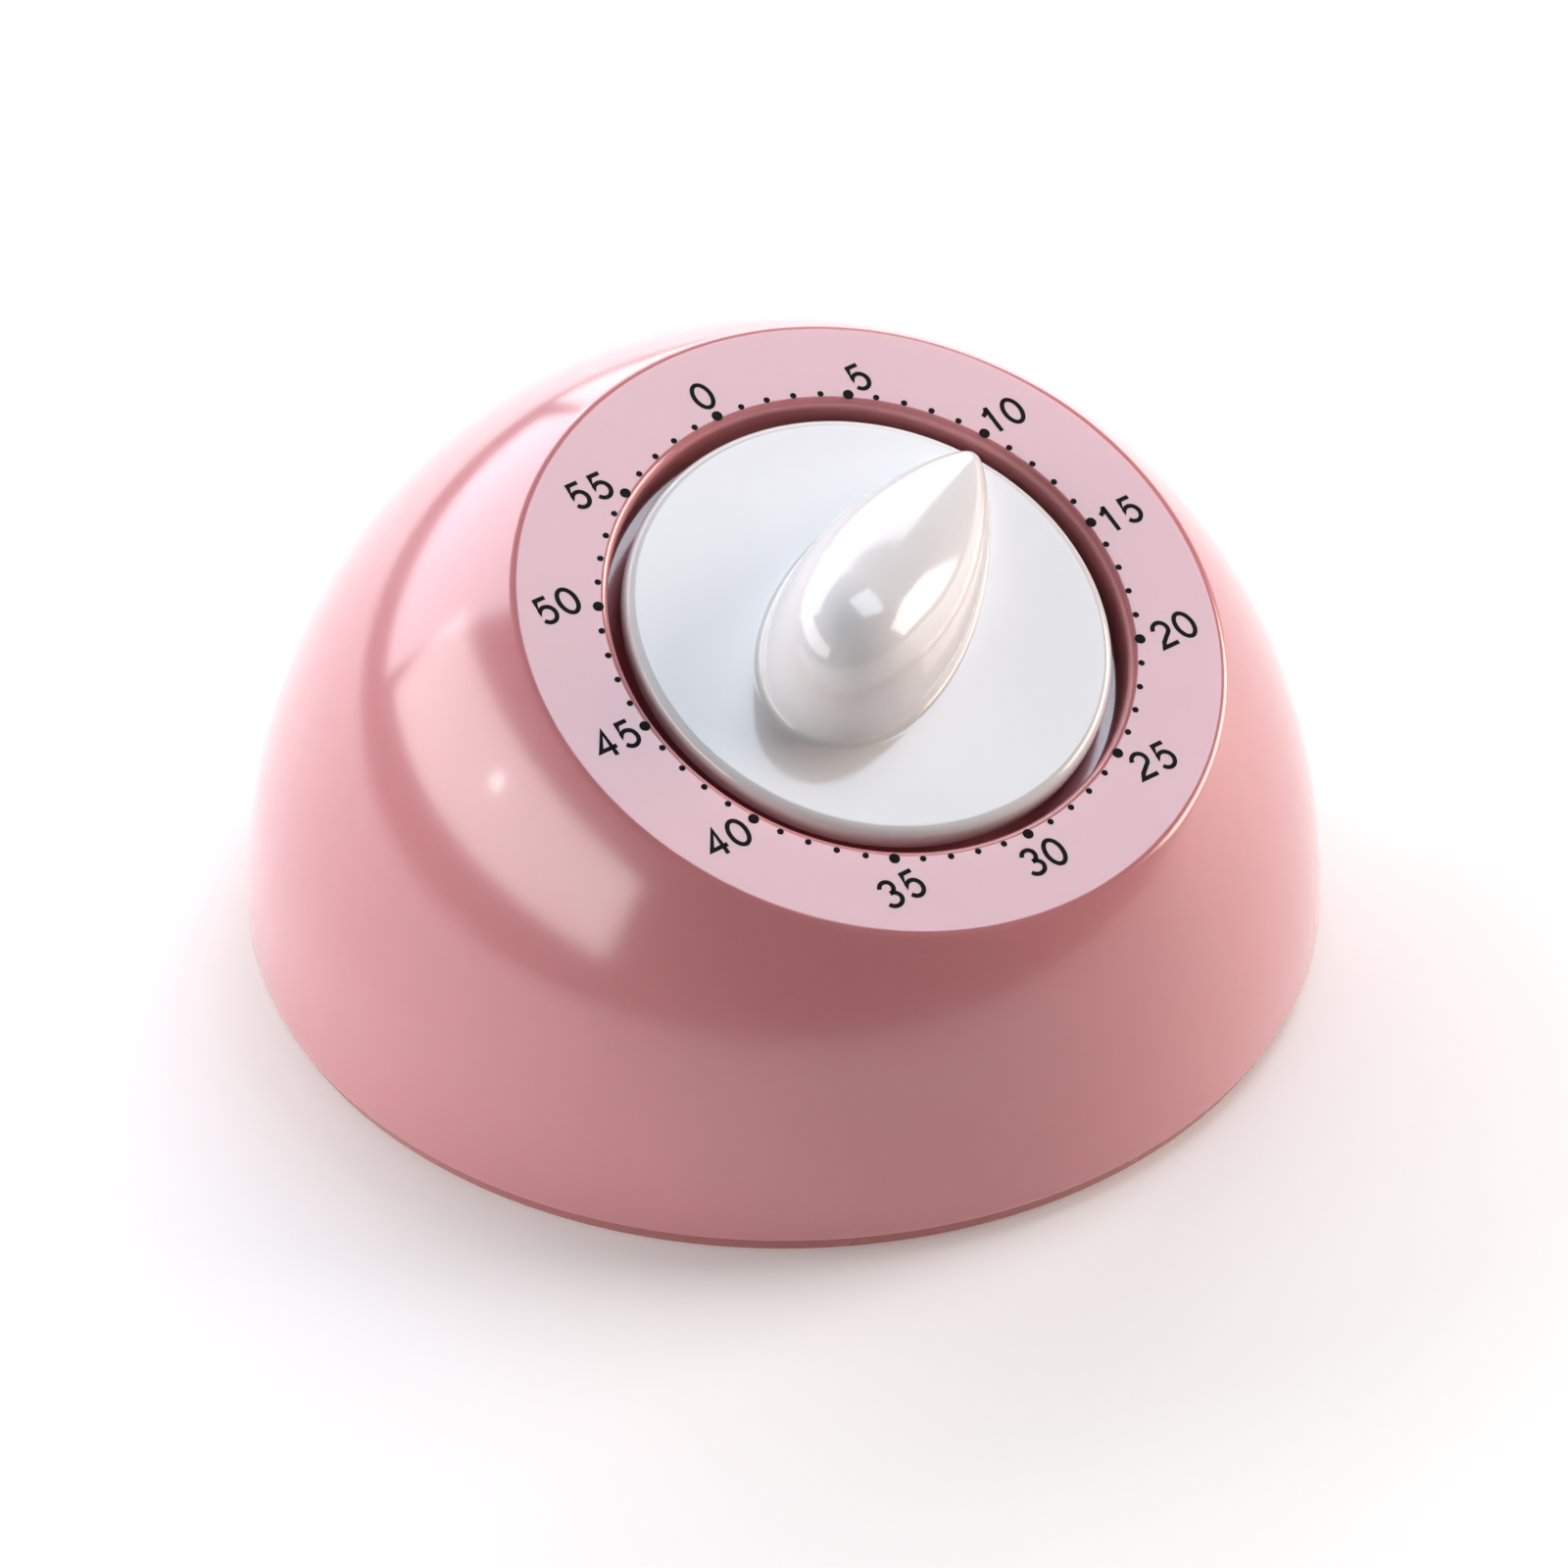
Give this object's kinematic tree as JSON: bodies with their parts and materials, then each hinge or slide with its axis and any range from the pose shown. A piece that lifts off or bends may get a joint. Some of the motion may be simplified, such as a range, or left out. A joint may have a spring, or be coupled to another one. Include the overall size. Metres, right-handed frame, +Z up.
{
  "type": "mechanical kitchen timer",
  "caption": "Dome-shaped wind-up kitchen timer with a slanted round dial, a recessed teardrop knob and a clockwork movement with a bell inside.",
  "frame": {"origin": "middle of the round base, on the surface that the timer stands on", "axes": "+Z up, -Y the side that the dial leans towards, +X to the right of the dial's 0 mark"},
  "size_m": [0.0866, 0.0866, 0.0464],
  "materials": {
    "case_plastic": "moulded gloss, pale rose",
    "cover_plastic": "moulded gloss, pale rose",
    "knob_plastic": "moulded gloss, white",
    "dial_ink": "pad printed numerals and dots",
    "feet_rubber": "moulded, matt",
    "wheel_brass": "stamped and tumbled",
    "arbor_steel": "turned",
    "plated_steel": "stamped and zinc plated",
    "spring_steel": "tempered strip",
    "bell_steel": "spun and nickel plated"
  },
  "bodies": {
    "case": {"dome_shell": "case_plastic", "base_cover": "cover_plastic", "base_screws": "plated_steel", "rubber_feet": "feet_rubber", "front_plate": "plated_steel", "back_plate": "plated_steel", "plate_pillars": "plated_steel", "pillar_screws": "plated_steel", "movement_screws": "plated_steel", "front_bushing": "wheel_brass", "back_bushing": "wheel_brass", "bell": "bell_steel", "bell_post": "plated_steel", "bell_screw": "plated_steel", "mainspring": "spring_steel", "spring_post": "arbor_steel", "hairspring": "spring_steel", "hairspring_stud": "arbor_steel", "hammer_spring": "spring_steel", "leaf_post": "arbor_steel", "trip_stud": "arbor_steel"},
    "dial_knob": {"knob": "knob_plastic", "main_arbor": "arbor_steel", "arbor_clip": "spring_steel", "clutch_washer": "spring_steel", "strike_cam": "wheel_brass", "main_wheel": "wheel_brass"},
    "second": {"second_wheel": "wheel_brass", "second_arbor": "arbor_steel"},
    "third": {"third_wheel": "wheel_brass", "third_arbor": "arbor_steel"},
    "escape": {"escape_wheel": "wheel_brass", "escape_arbor": "arbor_steel"},
    "anchor": {"anchor_lever": "arbor_steel", "anchor_arbor": "arbor_steel", "pallet_pins": "arbor_steel"},
    "balance": {"balance_wheel": "wheel_brass", "balance_staff": "arbor_steel", "impulse_roller": "wheel_brass", "hairspring_collet": "wheel_brass"},
    "hammer": {"hammer_arbor": "arbor_steel", "hammer_arm": "arbor_steel", "hammer_head": "arbor_steel", "hammer_tail": "arbor_steel"},
    "trip": {"trip_lever": "arbor_steel"}
  },
  "joints": [
    {"name": "knob_turn", "type": "hinge", "parent": "case", "child": "dial_knob", "pos_m": [0, -0.00658, 0.02391], "axis": [0, 0.3679, -0.9298], "range_deg": [-60.75, 291.25], "deforming": ["mainspring"]},
    {"name": "second_wheel_turn", "type": "hinge", "parent": "case", "child": "second", "pos_m": [0, 0.00643, 0.02906], "axis": [0, 0.3679, -0.9298], "range_deg": [-1748.5, 365.5]},
    {"name": "third_wheel_turn", "type": "hinge", "parent": "case", "child": "third", "pos_m": [0.01004, 0.00358, 0.02793], "axis": [0, 0.3679, -0.9298], "range_deg": [-1823.5, 8738.5]},
    {"name": "escape_wheel_turn", "type": "hinge", "parent": "case", "child": "escape", "pos_m": [0.01437, -0.00312, 0.02528], "axis": [0, 0.3679, -0.9298], "range_deg": [-52426, 10936]},
    {"name": "anchor_swing", "type": "hinge", "parent": "case", "child": "anchor", "pos_m": [0.01744, -0.00898, 0.02296], "axis": [0, 0.3679, -0.9298], "range_deg": [-4, 4]},
    {"name": "balance_swing", "type": "hinge", "parent": "case", "child": "balance", "pos_m": [0.01594, -0.01438, 0.02082], "axis": [0, 0.3679, -0.9298], "range_deg": [-120, 120], "deforming": ["hairspring"]},
    {"name": "hammer_swing", "type": "hinge", "parent": "case", "child": "hammer", "pos_m": [-0.0125, -0.01402, 0.02096], "axis": [0, 0.3679, -0.9298], "range_deg": [-3, 8], "stiffness_Nm_per_rad": 0.001, "deforming": ["hammer_spring"]},
    {"name": "trip_lever_swing", "type": "hinge", "parent": "case", "child": "trip", "pos_m": [-0.0065, -0.01774, 0.01949], "axis": [0, 0.3679, -0.9298], "range_deg": [-3, 3]}
  ],
  "couplings": [
    {"joint": "second_wheel_turn", "follows": "knob_turn", "ratio": -6},
    {"joint": "third_wheel_turn", "follows": "knob_turn", "ratio": 30},
    {"joint": "escape_wheel_turn", "follows": "knob_turn", "ratio": -180}
  ]
}
